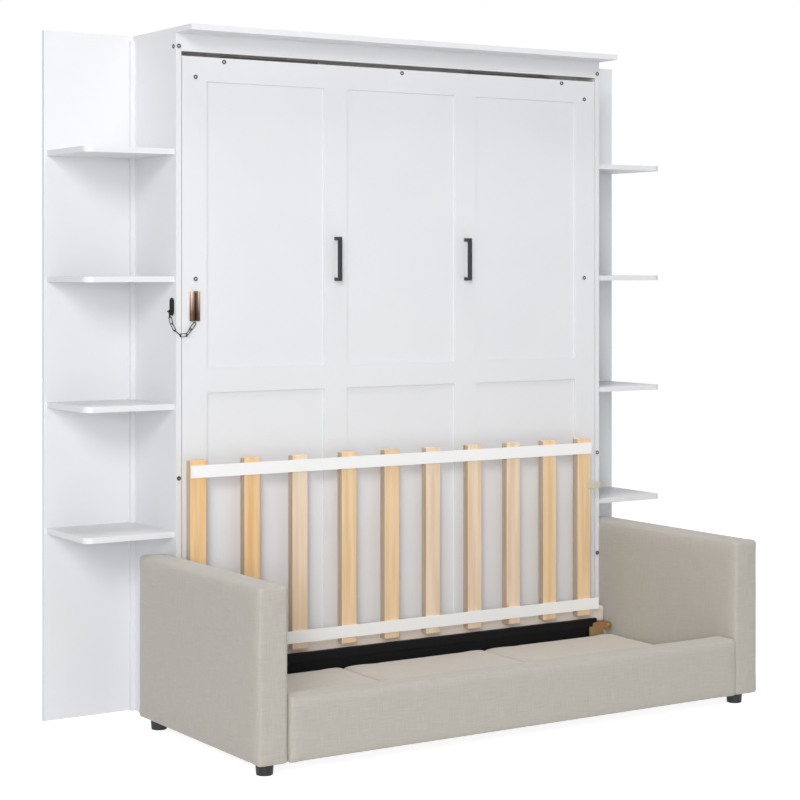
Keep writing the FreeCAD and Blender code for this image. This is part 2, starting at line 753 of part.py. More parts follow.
# Chain links: each is a wire bent to a closed loop with two straight sides. Links lie along
# the run between two joints, every second one turned a quarter about it. The wire is drawn with
# flat sides and mitred bends, which is as fine as a thin wire needs.
def link_solid(start, end, flat, slack_share):
    run = end - start
    along = FreeCAD.Vector(run).normalize()
    level = along.cross(FreeCAD.Vector(0, 0, 1)).normalize()
    across = level if flat else level.cross(along)
    upright = along.cross(across)
    bend = size("link_bend_radius")
    half_straight = run.Length / 2 + size(f"({slack_share} * link_slack + link_wire) / 2") - bend
    corners = []
    for way in (1, -1):
        seat = (start + end) * 0.5 + along * (half_straight * way)
        for step in range(BEND_STEPS + 1):
            angle = math.pi * step / BEND_STEPS
            out = across * math.cos(angle) + along * math.sin(angle)
            corners.append(seat + out * (bend * way))
    rings = []
    for index, corner in enumerate(corners):
        before = (corner - corners[index - 1]).normalize()
        after = (corners[(index + 1) % len(corners)] - corner).normalize()
        out = (before + after).cross(upright).normalize()
        mitre = size("link_wire / 2") / before.cross(upright).dot(out)
        rings.append([])
        for side in range(WIRE_SIDES):
            angle = 2 * math.pi * (side + 0.5) / WIRE_SIDES
            rise = upright * (size("link_wire / 2") * math.sin(angle))
            rings[-1].append(corner + out * (mitre * math.cos(angle)) + rise)
    faces = []
    for index, ring in enumerate(rings):
        following = rings[(index + 1) % len(rings)]
        for side in range(WIRE_SIDES):
            other = (side + 1) % WIRE_SIDES
            outline = [ring[side], ring[other], following[other], following[side], ring[side]]
            faces.append(Part.Face(Part.makePolygon(outline)))
    return Part.makeSolid(Part.makeShell(faces))


links = []
for index in range(len(LINK_TURNS)):
    links.append(link_solid(chain_starts[index], chain_starts[index + 1], index % 2 == 1,
                            LINK_SLACK_SHARES[index]))
knob_at = FreeCAD.Vector(size("track_x"), size("knob_y"), size("knob_z"))
knob_end = knob_at - FreeCAD.Vector(size("knob_diameter / 2"), 0, 0)
neck = Part.makeCylinder(size("neck_diameter / 2"), size("neck_length"), knob_at,
                         FreeCAD.Vector(0, 0, -1))
knob = Part.makeCylinder(size("knob_diameter / 2"), size("knob_diameter"), knob_end,
                         FreeCAD.Vector(1, 0, 0))
links[0] = links[0].fuse(knob.fuse(neck)).removeSplitter()
near_chain = doc.addObject("Part::Feature", "NearChain")
near_chain.Shape = Part.makeCompound(links[:NEAR_LINKS])
node(near_chain, "guard_chain_upper")
far_chain = doc.addObject("Part::Feature", "FarChain")
far_chain.Shape = Part.makeCompound(links[NEAR_LINKS:])
node(far_chain, "guard_chain_lower")


# Sofa: upholstered arms beside the cabinet, a front rail, a back rail and a deck between them
def arm(side):
    box = block(*span(side, "arm_inner", "arm_outer"), "arm_front_y", "arm_back_y", "sofa_lift",
                "arm_top")
    return round_edges(box, "upholstery_round",
                       lambda edge: edge.BoundBox.ZMax > size("sofa_lift + overrun"))


both_sides("sofa_arm", arm)
front_rail = block("-arm_inner", "arm_inner", "seat_front_y", "front_rail_back_y", "sofa_lift",
                   "front_rail_top")
node(round_edges(front_rail, "front_rail_round", lambda edge: runs_along(edge, (1, 0, 0))
                 and edge.BoundBox.ZMin > size("sofa_lift + overrun")), "front_rail")
back_rail = block("-arm_inner", "arm_inner", "back_rail_front_y", "back_rail_back_y", "sofa_lift",
                  "back_rail_top")
node(round_edges(back_rail, "back_rail_round", lambda edge: runs_along(edge, (1, 0, 0))
                 and edge.BoundBox.ZMin > size("sofa_lift + overrun")), "back_rail")
node(block("-arm_inner", "arm_inner", "front_rail_back_y", "back_rail_front_y", "deck_low",
           "deck_high"), "seat_deck")

# The black bar along the back rail: a deep web with a thicker and longer head
node(fuse(
    block("-bar_web_half", "bar_web_half", "back_rail_front_y - bar_web_thick", "back_rail_front_y",
          "bar_low", "bar_step"),
    block("-bar_head_half", "bar_head_half", "bar_front_y", "back_rail_front_y", "bar_step",
          "bar_high")), "back_bar")


# Round feet under the arms, narrower at the floor
def foot(side, set_back):
    cone = doc.addObject("Part::Cone", "Foot")
    bind(cone, "Radius1", "foot_diameter / 2 - foot_taper")
    bind(cone, "Radius2", "foot_diameter / 2")
    bind(cone, "Height", "sofa_lift")
    place(cone, f"{side}(arm_inner + arm_thick / 2)", set_back, "0")
    return cone


feet = []
for side in ("-", ""):
    feet.append(foot(side, "arm_front_y + foot_front_set"))
    feet.append(foot(side, "arm_back_y - foot_back_set"))
node(group(*feet), "sofa_feet")


# Seat pads: lofted through outlines with round corners and sides drawn in between them,
# widest at the waist and falling from the crown to the edge
def pad_outline(width, depth, inset, height):
    half_x = width / 2 - inset
    half_y = depth / 2 - inset
    round_by = size("pad_corner_radius")
    draw = size("pad_side_draw")
    diagonal = round_by * math.sqrt(0.5)
    edges = []
    for quarter in range(4):
        spin = FreeCAD.Rotation(FreeCAD.Vector(0, 0, 1), 90 * quarter)
        long_x, long_y = (half_x, half_y) if quarter % 2 == 0 else (half_y, half_x)
        corner = FreeCAD.Vector(long_x - round_by, long_y - round_by, height)
        before = corner + FreeCAD.Vector(round_by, 0, 0)
        middle = corner + FreeCAD.Vector(diagonal, diagonal, 0)
        after = corner + FreeCAD.Vector(0, round_by, 0)
        opposite = FreeCAD.Vector(round_by - long_x, long_y, height)
        dip = FreeCAD.Vector(0, long_y - draw, height)
        edges.append(Part.Arc(*[spin.multVec(point) for point in (before, middle, after)]).toShape())
        edges.append(Part.Arc(*[spin.multVec(point) for point in (after, dip, opposite)]).toShape())
    return Part.Wire(edges)


def seat_pad(index):
    width = size("pad_width")
    depth = size("pad_back_y - pad_front_y")
    rows = (("pad_edge_inset", "0"), ("0", "pad_waist_rise"),
            ("pad_edge_inset", "pad_height - pad_edge_drop"), ("pad_crown_inset", "pad_height"))
    outlines = [pad_outline(width, depth, size(inset), size(height)) for inset, height in rows]
    pad = doc.addObject("Part::Feature", "SeatPad")
    pad.Shape = Part.makeLoft(outlines, True, True)
    middle_x = size(f"({index} - 1) * (pad_width + pad_gap)")
    middle_y = size("(pad_back_y + pad_front_y) / 2")
    pad.Placement.Base = FreeCAD.Vector(middle_x, middle_y, size("deck_high"))
    return pad


for index, word in zip(range(PAD_COUNT), ("left", "middle", "right")):
    node(seat_pad(index), f"seat_pad_{word}")

# Backrest: upright slats behind two cross rails, and the catch strap on the last slat
back_slats = []
for share in BACK_SLAT_SHARES:
    middle = f"back_slat_outer * ({share})"
    slat = block(f"{middle} - back_slat_width / 2", f"{middle} + back_slat_width / 2",
                 "slat_front_y", "slat_back_y", "back_slat_low", "back_slat_high")
    back_slats.append(slat)
node(group(*back_slats), "backrest_slats")
node(group(
    block("-lower_rail_left", "lower_rail_right", "strip_front_y", "slat_front_y", "lower_rail_low",
          "lower_rail_low + back_rail_height"),
    block("-upper_rail_left", "upper_rail_right", "strip_front_y", "slat_front_y",
          "upper_rail_high - back_rail_height", "upper_rail_high")), "backrest_rails")
foot_board = block("-foot_board_half", "foot_board_half", "foot_board_front_y", "foot_board_back_y",
                   "foot_board_low", "foot_board_high")
node(round_edges(foot_board, "foot_board_round", lambda edge: runs_along(edge, (1, 0, 0))
                 and edge.BoundBox.ZMin > size("foot_board_low + overrun")), "backrest_foot_board")
node(block("strap_across", "strap_across + strap_length", "slat_front_y - strap_thick", "slat_front_y",
           "strap_height_above", "strap_height_above + strap_height"), "catch_strap")


# Backrest hinges: a stepped plate with an ear and pin on the bar, and an arm under the foot board
def hinge_bracket(side):
    out = (-1, 0, 0) if side else (1, 0, 0)
    depth = ("bar_front_y - bracket_thick", "bar_front_y")
    plate = block(*span(side, "bracket_across", "ear_across + ear_thick"), *depth, "bracket_low",
                  "bracket_step")
    upper = block(*span(side, "bracket_step_across", "ear_across + ear_thick"), *depth, "bracket_step",
                  "bracket_high")
    upper = round_edges(upper, "bracket_round", lambda edge: runs_along(edge, (0, 1, 0))
                        and edge.BoundBox.ZMin > size("bracket_step + overrun")
                        and abs(edge.BoundBox.XMin) < size("bracket_step_across + overrun"))
    ear = block(*span(side, "ear_across", "ear_across + ear_thick"), "back_pivot_y",
                "bar_front_y - bracket_thick", "back_pivot_height - ear_radius",
                "back_pivot_height + ear_radius")
    nose = rod("2 * ear_radius", "ear_thick", out, f"{side}ear_across", "back_pivot_y", "back_pivot_height")
    pin = rod("back_pin_diameter", "arm_plate_outer - ear_across", out, f"{side}ear_across",
              "back_pivot_y", "back_pivot_height")
    head = rod("pin_head_diameter", "pin_head_thick", out, f"{side}(ear_across - pin_head_thick)",
               "back_pivot_y", "back_pivot_height")
    return fuse(plate, upper, ear, nose, pin, head)


def hinge_arm(side):
    out = (-1, 0, 0) if side else (1, 0, 0)
    ends = span(side, "arm_plate_inner", "arm_plate_outer")
    reach = block(*ends, "back_pivot_y", "foot_board_back_y - arm_flange_inset",
                  "foot_board_low - arm_plate_height", "foot_board_low")
    flange = block(*span(side, "arm_plate_outer - arm_flange_width", "arm_plate_outer"),
                   "foot_board_front_y + arm_flange_inset", "foot_board_back_y - arm_flange_inset",
                   "foot_board_low - arm_flange_thick", "foot_board_low")
    ring = rod("2 * arm_eye_radius", "arm_plate_thick", out, f"{side}arm_plate_inner",
               "back_pivot_y", "back_pivot_height")
    bore = rod("back_pin_diameter + 2 * pivot_play", "arm_plate_thick + 2 * overrun", out,
               f"{side}(arm_plate_inner - overrun)", "back_pivot_y", "back_pivot_height")
    return cut(fuse(reach, flange, ring), bore)


both_sides("hinge_bracket", hinge_bracket)
both_sides("hinge_arm", hinge_arm)

doc.recompute()
faults = [piece.Label for piece in doc.Objects if "Invalid" in piece.State or "Error" in piece.State]
for piece in nodes:
    if piece.Shape.isNull() or not piece.Shape.isValid() or not piece.Shape.Solids:
        faults.append(piece.Label)
if faults:
    raise RuntimeError("pieces that failed: " + ", ".join(faults))
os.makedirs("parts", exist_ok=True)
for piece in nodes:
    piece.Shape.exportStep(f"parts/{piece.Label}.step")
print(len(nodes), "nodes,", sum(len(piece.Shape.Solids) for piece in nodes), "solids")
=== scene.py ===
import math

import bpy
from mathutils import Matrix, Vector


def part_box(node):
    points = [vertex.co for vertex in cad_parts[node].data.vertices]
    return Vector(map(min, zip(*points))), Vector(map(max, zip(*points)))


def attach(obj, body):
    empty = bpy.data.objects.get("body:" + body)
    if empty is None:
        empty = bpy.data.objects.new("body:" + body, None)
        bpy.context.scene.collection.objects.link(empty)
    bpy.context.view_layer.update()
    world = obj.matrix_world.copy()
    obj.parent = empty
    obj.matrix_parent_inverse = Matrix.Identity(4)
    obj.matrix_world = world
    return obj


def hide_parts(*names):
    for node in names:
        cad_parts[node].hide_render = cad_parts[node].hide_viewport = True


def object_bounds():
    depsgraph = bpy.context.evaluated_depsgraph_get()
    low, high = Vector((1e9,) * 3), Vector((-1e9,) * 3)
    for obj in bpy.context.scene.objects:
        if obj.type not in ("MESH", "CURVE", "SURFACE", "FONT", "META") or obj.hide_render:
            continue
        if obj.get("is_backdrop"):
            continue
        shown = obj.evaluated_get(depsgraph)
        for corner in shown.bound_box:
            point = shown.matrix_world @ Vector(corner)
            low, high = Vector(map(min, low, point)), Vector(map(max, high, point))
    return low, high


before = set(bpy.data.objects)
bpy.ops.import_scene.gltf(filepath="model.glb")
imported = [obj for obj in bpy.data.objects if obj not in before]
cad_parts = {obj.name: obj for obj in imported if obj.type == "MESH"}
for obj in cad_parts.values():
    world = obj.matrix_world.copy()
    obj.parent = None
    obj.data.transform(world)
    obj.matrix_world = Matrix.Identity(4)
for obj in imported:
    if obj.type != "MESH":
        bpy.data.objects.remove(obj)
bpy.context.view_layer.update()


# Cabinet carcass: two side panels, the overhanging top board, the header and the rear rails.
# All are particle board under a white satin laminate, screwed together from outside.
class Flow:
    """A shader value that can be added, multiplied and compared like a number."""

    def __init__(self, tree, socket=None):
        self.tree = tree
        self.socket = socket

    def node(self, kind, settings, values, output=0):
        made = self.tree.nodes.new("ShaderNode" + kind)
        for name, setting in settings.items():
            if name == "stops":
                while len(made.color_ramp.elements) < len(setting):
                    made.color_ramp.elements.new(1.0)
                for stop, (place, colour) in zip(made.color_ramp.elements, setting):
                    stop.position = place
                    stop.color = (*colour, 1.0)
            else:
                setattr(made, name, setting)
        for name, value in values.items():
            if isinstance(value, Flow):
                self.tree.links.new(value.socket, made.inputs[name])
            else:
                made.inputs[name].default_value = value
        return Flow(self.tree, made.outputs[output] if made.outputs else None)

    def math(self, operation, first, second=0.0):
        return self.node("Math", {"operation": operation}, {0: first, 1: second})

    def __add__(self, other):
        return self.math("ADD", self, other)

    def __radd__(self, other):
        return self.math("ADD", other, self)

    def __sub__(self, other):
        return self.math("SUBTRACT", self, other)

    def __mul__(self, other):
        return self.math("MULTIPLY", self, other)


def new_finish(name):
    made = bpy.data.materials.new(name)
    made.use_nodes = True
    made.node_tree.nodes.clear()
    return made, Flow(made.node_tree)


def close_finish(flow, **sockets):
    values = {name.replace("_", " "): value for name, value in sockets.items()}
    surface = flow.node("BsdfPrincipled", {}, values)
    flow.node("OutputMaterial", {}, {"Surface": surface})


def place(flow, x, y, z):
    here = flow.node("TexCoord", {}, {}, "Object")
    return flow.node("Mapping", {}, {"Vector": here, "Scale": (x, y, z)})


def noise(flow, where, scale, detail=2.0):
    return flow.node("TexNoise", {}, {"Vector": where, "Scale": scale, "Detail": detail})


def blend_colours(flow, share, first, second):
    return flow.node("Mix", {"data_type": "RGBA"}, {0: share, 6: first, 7: second}, 2)


def coat_nodes(finish, *names):
    for name in names:
        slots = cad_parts[name].data.materials
        slots.clear()
        slots.append(finish)


def laminate(name, first, second):
    made, flow = new_finish(name)
    here = place(flow, 1.0, 1.0, 1.0)
    cloud = noise(flow, here, 3.0)
    grit = noise(flow, here, 900.0, 3.0)
    tone = blend_colours(flow, cloud, first, second)
    relief = flow.node("Bump", {}, {"Strength": 0.05, "Distance": 0.0004, "Height": grit})
    close_finish(flow, Base_Color=tone, Roughness=0.34 + grit * 0.14, Normal=relief)
    return made


white_board = laminate("white_board", (0.675, 0.682, 0.704, 1.0), (0.72, 0.727, 0.747, 1.0))
coat_nodes(white_board, "side_panel_left", "side_panel_right", "top_board", "header_board")
coat_nodes(white_board, "rear_rail_upper", "rear_rail_lower")

# Side shelves: a tall back board on each side, a square batten in the corner and four shelves
# whose outer front corner is rounded, in the same laminate with taped edges.
coat_nodes(white_board, "shelf_back_left", "shelf_back_right", "corner_battens")
coat_nodes(white_board, "shelves_left", "shelves_right")

# Pivots and lift struts: steel studs and flanges, a black gas tube with a bright rod on each side
# of the bed, all bought fittings that are bolted on.
bright_steel, flow = new_finish("bright_steel")
brushed = noise(flow, place(flow, 30.0, 30.0, 600.0), 1.0, 4.0)
tone = blend_colours(flow, brushed, (0.42, 0.42, 0.44, 1.0), (0.62, 0.62, 0.63, 1.0))
close_finish(flow, Base_Color=tone, Metallic=1.0, Roughness=0.24 + brushed * 0.2)
coat_nodes(bright_steel, "cabinet_pivot_left", "cabinet_pivot_right")
coat_nodes(bright_steel, "bed_pivot_left", "bed_pivot_right")
coat_nodes(bright_steel, "strut_rod_left", "strut_rod_right")

black_metal, flow = new_finish("black_metal")
powder = noise(flow, place(flow, 1.0, 1.0, 1.0), 1400.0, 2.0)
tone = blend_colours(flow, powder, (0.005, 0.005, 0.0055, 1.0), (0.011, 0.011, 0.012, 1.0))
relief = flow.node("Bump", {}, {"Strength": 0.25, "Distance": 0.0003, "Height": powder})
close_finish(flow, Base_Color=tone, Roughness=0.38 + powder * 0.15, Normal=relief,
             Specular_IOR_Level=0.12)
coat_nodes(black_metal, "strut_tube_left", "strut_tube_right")

# Sofa feet: four turned black plastic feet, a little wider at the top and eased at their edges.
# Each is screwed up into the bottom of an arm. One is made and the others are copies.
black_plastic, flow = new_finish("black_plastic")
pores = noise(flow, place(flow, 1.0, 1.0, 1.0), 900.0, 2.0)
relief = flow.node("Bump", {}, {"Strength": 0.2, "Distance": 0.0003, "Height": pores})
close_finish(flow, Base_Color=(0.008, 0.009, 0.011, 1.0), Roughness=0.4 + pores * 0.2, Normal=relief)


def select_only(piece):
    bpy.ops.object.select_all(action="DESELECT")
    piece.select_set(True)
    bpy.context.view_layer.objects.active = piece


def copy_at(piece, step):
    """Copies the piece, with a mesh of its own, and moves the copy by the step."""
    select_only(piece)
    bpy.ops.object.duplicate()
    copy = bpy.context.object
    copy.location = step
    bpy.ops.object.transform_apply(location=True, rotation=True, scale=True)
    return copy


def join_to(first, others):
    select_only(first)
    for other in others:
        other.select_set(True)
    bpy.ops.object.join()


foot_inset = 0.025
foot_top_radius = 0.027
foot_floor_radius = 0.0245
low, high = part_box("sofa_feet")
first_foot = Vector((low.x + foot_inset, low.y + foot_inset, (low.z + high.z) / 2))
bpy.ops.object.select_all(action="DESELECT")
bpy.ops.mesh.primitive_cone_add(vertices=64, radius1=foot_floor_radius, radius2=foot_top_radius,
                                depth=high.z - low.z, location=first_foot)
foot = bpy.context.object
foot.name = "turned_feet"
bpy.ops.object.transform_apply(location=True, rotation=True, scale=True)
ease = foot.modifiers.new("ease", "BEVEL")
ease.width = 0.0015
ease.segments = 3
bpy.ops.object.modifier_apply(modifier="ease")
foot.data.materials.append(black_plastic)
across = Vector((high.x - low.x - 2 * foot_inset, 0.0, 0.0))
back = Vector((0.0, high.y - low.y - 2 * foot_inset, 0.0))
join_to(foot, [copy_at(foot, step) for step in (back, across, across + back)])
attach(foot, "base")
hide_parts("sofa_feet")

# Sofa arms: foam over a board frame, covered in a plain linen weave that is pulled round
# the edges and stapled underneath. Both arms are the same, left and right.
def woven(name, dark, middle, bright, warm):
    made, flow = new_finish(name)
    cloth = flow.node("TexCoord", {}, {}, "UV")
    across = flow.node("Mapping", {}, {"Vector": cloth, "Scale": (16.0, 460.0, 1.0)})
    along = flow.node("Mapping", {}, {"Vector": cloth, "Scale": (460.0, 16.0, 1.0)})
    slubs = (noise(flow, across, 1.0, 3.0) + noise(flow, along, 1.0, 3.0)) * 0.5
    thread_pitch = 0.0012
    turns = math.tau / thread_pitch
    warp = flow.math("SINE", flow.node("SeparateXYZ", {}, {"Vector": cloth}, "X") * turns)
    weft = flow.math("SINE", flow.node("SeparateXYZ", {}, {"Vector": cloth}, "Y") * turns)
    weave = warp * weft * 0.5 + 0.5
    stops = ((0.35, dark), (0.5, middle), (0.67, bright))
    threads = flow.node("ValToRGB", {"stops": stops}, {"Fac": slubs})
    cloud = noise(flow, place(flow, 1.0, 1.0, 1.0), 2.2)
    tone = blend_colours(flow, cloud * 0.5, threads, (*warm, 1.0))
    relief = flow.node("Bump", {}, {"Strength": 0.3, "Distance": 0.0004, "Height": weave * 0.5 + slubs})
    close_finish(flow, Base_Color=tone, Roughness=0.9, Normal=relief, Sheen_Weight=0.25,
                 Sheen_Roughness=0.5, Specular_IOR_Level=0.25)
    return made


linen = woven("linen", (0.358, 0.336, 0.300), (0.409, 0.389, 0.352), (0.460, 0.439, 0.400),
              (0.428, 0.391, 0.339))


def round_off(block, size, steps, test):
    """Rounds the straight edges of a block whose two ends both pass the test."""
    select_only(block)
    bpy.ops.object.mode_set(mode="EDIT")
    bpy.ops.mesh.select_mode(type="EDGE")
    bpy.ops.mesh.select_all(action="DESELECT")
    bpy.ops.object.mode_set(mode="OBJECT")
    for line in block.data.edges:
        line.select = test(*(block.data.vertices[index].co for index in line.vertices))
    bpy.ops.object.mode_set(mode="EDIT")
    bpy.ops.mesh.bevel(offset=size, segments=steps, affect="EDGES")
    bpy.ops.object.mode_set(mode="OBJECT")


def foam_block(name, low, high, upright, top, bottom):
    """A block of foam with its upright, top and bottom edges rounded by different amounts."""
    bpy.ops.object.select_all(action="DESELECT")
    bpy.ops.mesh.primitive_cube_add(size=1.0, location=(low + high) / 2)
    block = bpy.context.object
    block.name = name
    block.scale = high - low
    bpy.ops.object.transform_apply(location=True, rotation=True, scale=True)
    round_off(block, upright, 6, lambda one, two: abs(one.z - two.z) > 0.01)
    round_off(block, top, 6, lambda one, two: min(one.z, two.z) > high.z - 0.0001)
    round_off(block, bottom, 4, lambda one, two: max(one.z, two.z) < low.z + 0.0001)
    return block


def plump(piece, voxel, cap, low, high):
    """Covers the foam in cloth, lets it swell by up to the cap and makes it fill its box."""
    select_only(piece)
    grid = piece.modifiers.new("grid", "REMESH")
    grid.mode = "VOXEL"
    grid.voxel_size = voxel
    bpy.ops.object.modifier_apply(modifier="grid")
    start = [corner.co.copy() for corner in piece.data.vertices]
    cloth = piece.modifiers.new("cloth", "CLOTH")
    cloth.settings.use_pressure = True
    cloth.settings.uniform_pressure_force = 4.0
    cloth.settings.effector_weights.gravity = 0.0
    for step in range(1, 21):
        bpy.context.scene.frame_set(step)
    bpy.ops.object.modifier_apply(modifier="cloth")
    bpy.context.scene.frame_set(1)
    for corner, before in zip(piece.data.vertices, start):
        moved = corner.co - before
        if moved.length > cap:
            corner.co = before + moved * (cap / moved.length)
    smooth = piece.modifiers.new("smooth", "SMOOTH")
    smooth.iterations = 4
    bpy.ops.object.modifier_apply(modifier="smooth")
    for axis in range(3):
        least = min(corner.co[axis] for corner in piece.data.vertices)
        most = max(corner.co[axis] for corner in piece.data.vertices)
        stretch = (high[axis] - low[axis]) / (most - least)
        for corner in piece.data.vertices:
            corner.co[axis] = low[axis] + (corner.co[axis] - least) * stretch


def lay_cloth(piece, finish):
    """Lays the weave flat on each face of the piece, at its real size."""
    select_only(piece)
    bpy.ops.object.mode_set(mode="EDIT")
    bpy.ops.mesh.select_all(action="SELECT")
    bpy.ops.uv.cube_project(cube_size=1.0, correct_aspect=False)
    bpy.ops.object.mode_set(mode="OBJECT")
    piece.data.materials.clear()
    piece.data.materials.append(finish)
    bpy.ops.object.shade_smooth()


def upholster(piece, node, body, cloth):
    lay_cloth(piece, cloth)
    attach(piece, body)
    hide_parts(node)


padding_low = Vector((-0.006, -0.003, -0.004))
padding_high = Vector((0.002, 0.0, 0.006))
low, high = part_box("sofa_arm_left")
low += padding_low
high += padding_high
swell = Vector((0.002, 0.002, 0.002))
arm_left = foam_block("arm_cover_left", low + swell, high - swell, 0.011, 0.012, 0.002)
plump(arm_left, 0.006, 0.004, low, high)
select_only(arm_left)
bpy.ops.object.duplicate()
arm_right = bpy.context.object
arm_right.name = "arm_cover_right"
arm_right.scale.x = -1.0
bpy.ops.object.transform_apply(location=True, rotation=True, scale=True)
bpy.ops.object.mode_set(mode="EDIT")
bpy.ops.mesh.select_all(action="SELECT")
bpy.ops.mesh.normals_make_consistent(inside=False)
bpy.ops.object.mode_set(mode="OBJECT")
upholster(arm_left, "sofa_arm_left", "base", linen)
upholster(arm_right, "sofa_arm_right", "base", linen)

# Front and back rails of the sofa: boards padded and covered like the arms, with a generous
# round along the top edge at the front. They are bolted between the arms.
arm_overlap = Vector((0.006, 0.0, 0.0))
under_lap = Vector((0.0, 0.0, 0.003))
for node, top in (("front_rail", 0.018), ("back_rail", 0.008)):
    low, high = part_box(node)
    low -= arm_overlap + under_lap
    high += arm_overlap
    swell = Vector((0.0, 0.002, 0.002))
    rail = foam_block(node + "_cover", low + swell, high - swell, 0.003, top, 0.002)
    plump(rail, 0.007, 0.003, low, high)
    upholster(rail, node, "base", linen)

# Seat pads: three loose foam pads in sewn linen covers that lie on the deck side by side.
# One pad is made and the other two are copies of it.
# The pads' cover is the arms' linen made lighter: painted light on the pads.
pad_linen_painted_light = woven("pad_linen_painted_light", (0.42, 0.386, 0.34), (0.475, 0.442, 0.392), (0.53, 0.497, 0.445),
                  (0.50, 0.445, 0.38))
low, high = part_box("seat_pad_left")
pad_corner = low.copy()
side_bulge = Vector((0.0008, 0.0, 0.0))
low -= side_bulge
high += side_bulge
swell = Vector((0.004, 0.004, 0.004))
pad = foam_block("pad_cover_left", low + swell, high - swell, 0.018, 0.012, 0.010)
plump(pad, 0.006, 0.008, low, high)
for side in ("middle", "right"):
    copy = copy_at(pad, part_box("seat_pad_" + side)[0] - pad_corner)
    copy.name = "pad_cover_" + side
    upholster(copy, "seat_pad_" + side, "base", pad_linen_painted_light)
upholster(pad, "seat_pad_left", "base", pad_linen_painted_light)

# Bar along the back rail: a folded steel profile with a deeper head, black and rounded at its
# edges. It is screwed to the back rail and carries the hinges.
low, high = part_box("back_bar")
head_height = 0.0305
web_inset = 0.027
web_thick = 0.008
head_low = Vector((low.x, low.y, high.z - head_height))
web_low = Vector((low.x + web_inset, high.y - web_thick, low.z))
web_high = Vector((high.x - web_inset, high.y, head_low.z + 0.001))
head = foam_block("bar_profile", head_low, high, 0.002, 0.002, 0.002)
web = foam_block("bar_web", web_low, web_high, 0.001, 0.001, 0.001)
web.data.materials.append(black_metal)
head.data.materials.append(black_metal)
join_to(head, [web])
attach(head, "base")
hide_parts("back_bar")

# Seat deck: a plain white board that the pads lie on. It is held between the two rails and the
# two arms.
coat_nodes(white_board, "seat_deck")

# Hinge fittings of the backrest: brackets and arms of pressed steel, zinc plated and passivated
# yellow. The brackets are screwed to the bar, and the arms carry the foot board.
zinc_yellow, flow = new_finish("zinc_yellow")
film = noise(flow, place(flow, 1.0, 1.0, 1.0), 45.0, 3.0)
stops = ((0.35, (0.42, 0.38, 0.10)), (0.5, (0.50, 0.36, 0.16)), (0.65, (0.52, 0.30, 0.22)))
tone = flow.node("ValToRGB", {"stops": stops}, {"Fac": film})
close_finish(flow, Base_Color=tone, Metallic=0.85, Roughness=0.32 + film * 0.15)
coat_nodes(zinc_yellow, "hinge_bracket_left", "hinge_bracket_right", "hinge_arm_left", "hinge_arm_right")

# Bed face: three boards with planted stiles and cross rails, in the same white laminate as the
# cabinet. It is bolted through to the bed frame behind it.
coat_nodes(white_board, "face_board_left", "face_board_middle", "face_board_right", "face_cross_rails")
coat_nodes(white_board, "face_stile_1", "face_stile_2", "face_stile_3", "face_stile_4")

# Pull handles: two bent square bars in a dark gunmetal paint, with eased corners. They are
# screwed on from behind the face.
gunmetal, flow = new_finish("gunmetal")
powder = noise(flow, place(flow, 1.0, 1.0, 1.0), 1400.0, 2.0)
tone = blend_colours(flow, powder, (0.02, 0.021, 0.024, 1.0), (0.034, 0.036, 0.041, 1.0))
close_finish(flow, Base_Color=tone, Metallic=0.3, Roughness=0.42 + powder * 0.12)
coat_nodes(gunmetal, "pull_handle_left", "pull_handle_right")


# Bed frame behind the face: planed softwood rails, screwed at the corners, and the cross slats
# that carry a mattress. The grain runs along each board.
def planed_wood(name, pale, deep, streak, seed):
    made, flow = new_finish(name)
    here = flow.node("TexCoord", {}, {}, "Object")
    grain_way = flow.node("Mapping", {}, {"Vector": here, "Location": seed, "Scale": streak})
    figure = noise(flow, grain_way, 1.0, 5.0)
    fine_way = flow.node("Mapping", {}, {"Vector": grain_way, "Scale": (7.0, 7.0, 3.0)})
    fibres = noise(flow, fine_way, 1.0, 3.0)
    bands = flow.node("MapRange", {}, {"Value": figure, 1: 0.4, 2: 0.62})
    tone = blend_colours(flow, bands, pale, deep)
    tone = blend_colours(flow, fibres * 0.3, tone, (0.62, 0.42, 0.22, 1.0))
    spread = [reach ** 0.5 for reach in streak]
    cells = flow.node("Mapping", {}, {"Vector": here, "Location": seed, "Scale": spread})
    heart = flow.node("TexVoronoi", {}, {"Vector": cells, "Scale": 1.0}, "Distance")
    knots = flow.node("MapRange", {}, {"Value": heart, 1: 0.10, 2: 0.05})
    tone = blend_colours(flow, knots * 0.8, tone, (0.26, 0.13, 0.06, 1.0))
    relief = flow.node("Bump", {}, {"Strength": 0.2, "Distance": 0.0004, "Height": fibres})
    close_finish(flow, Base_Color=tone, Roughness=0.5 + fibres * 0.15, Normal=relief)
    return made


frame_pale = (0.66, 0.53, 0.36, 1.0)
frame_deep = (0.55, 0.40, 0.24, 1.0)
rail_wood = planed_wood("rail_wood", frame_pale, frame_deep, (60.0, 60.0, 3.0), (0.4, 0.0, 0.7))
coat_nodes(rail_wood, "bed_rail_left", "bed_rail_right")
frame_wood = planed_wood("frame_wood", frame_pale, frame_deep, (3.0, 60.0, 60.0), (0.0, 0.0, 0.0))
coat_nodes(frame_wood, "foot_rail", "head_rail", "bed_slats")

# Folding feet of the bed: two flat steel bars in a warm grey paint. They swing on pins in the foot
# rail, and with the bed up they lie in the slot over the face.
grey_metal, flow = new_finish("grey_metal")
powder = noise(flow, place(flow, 1.0, 1.0, 1.0), 1400.0, 2.0)
tone = blend_colours(flow, powder, (0.125, 0.115, 0.10, 1.0), (0.165, 0.155, 0.135, 1.0))
close_finish(flow, Base_Color=tone, Roughness=0.5 + powder * 0.15)
coat_nodes(grey_metal, "folding_leg_left", "folding_leg_right")
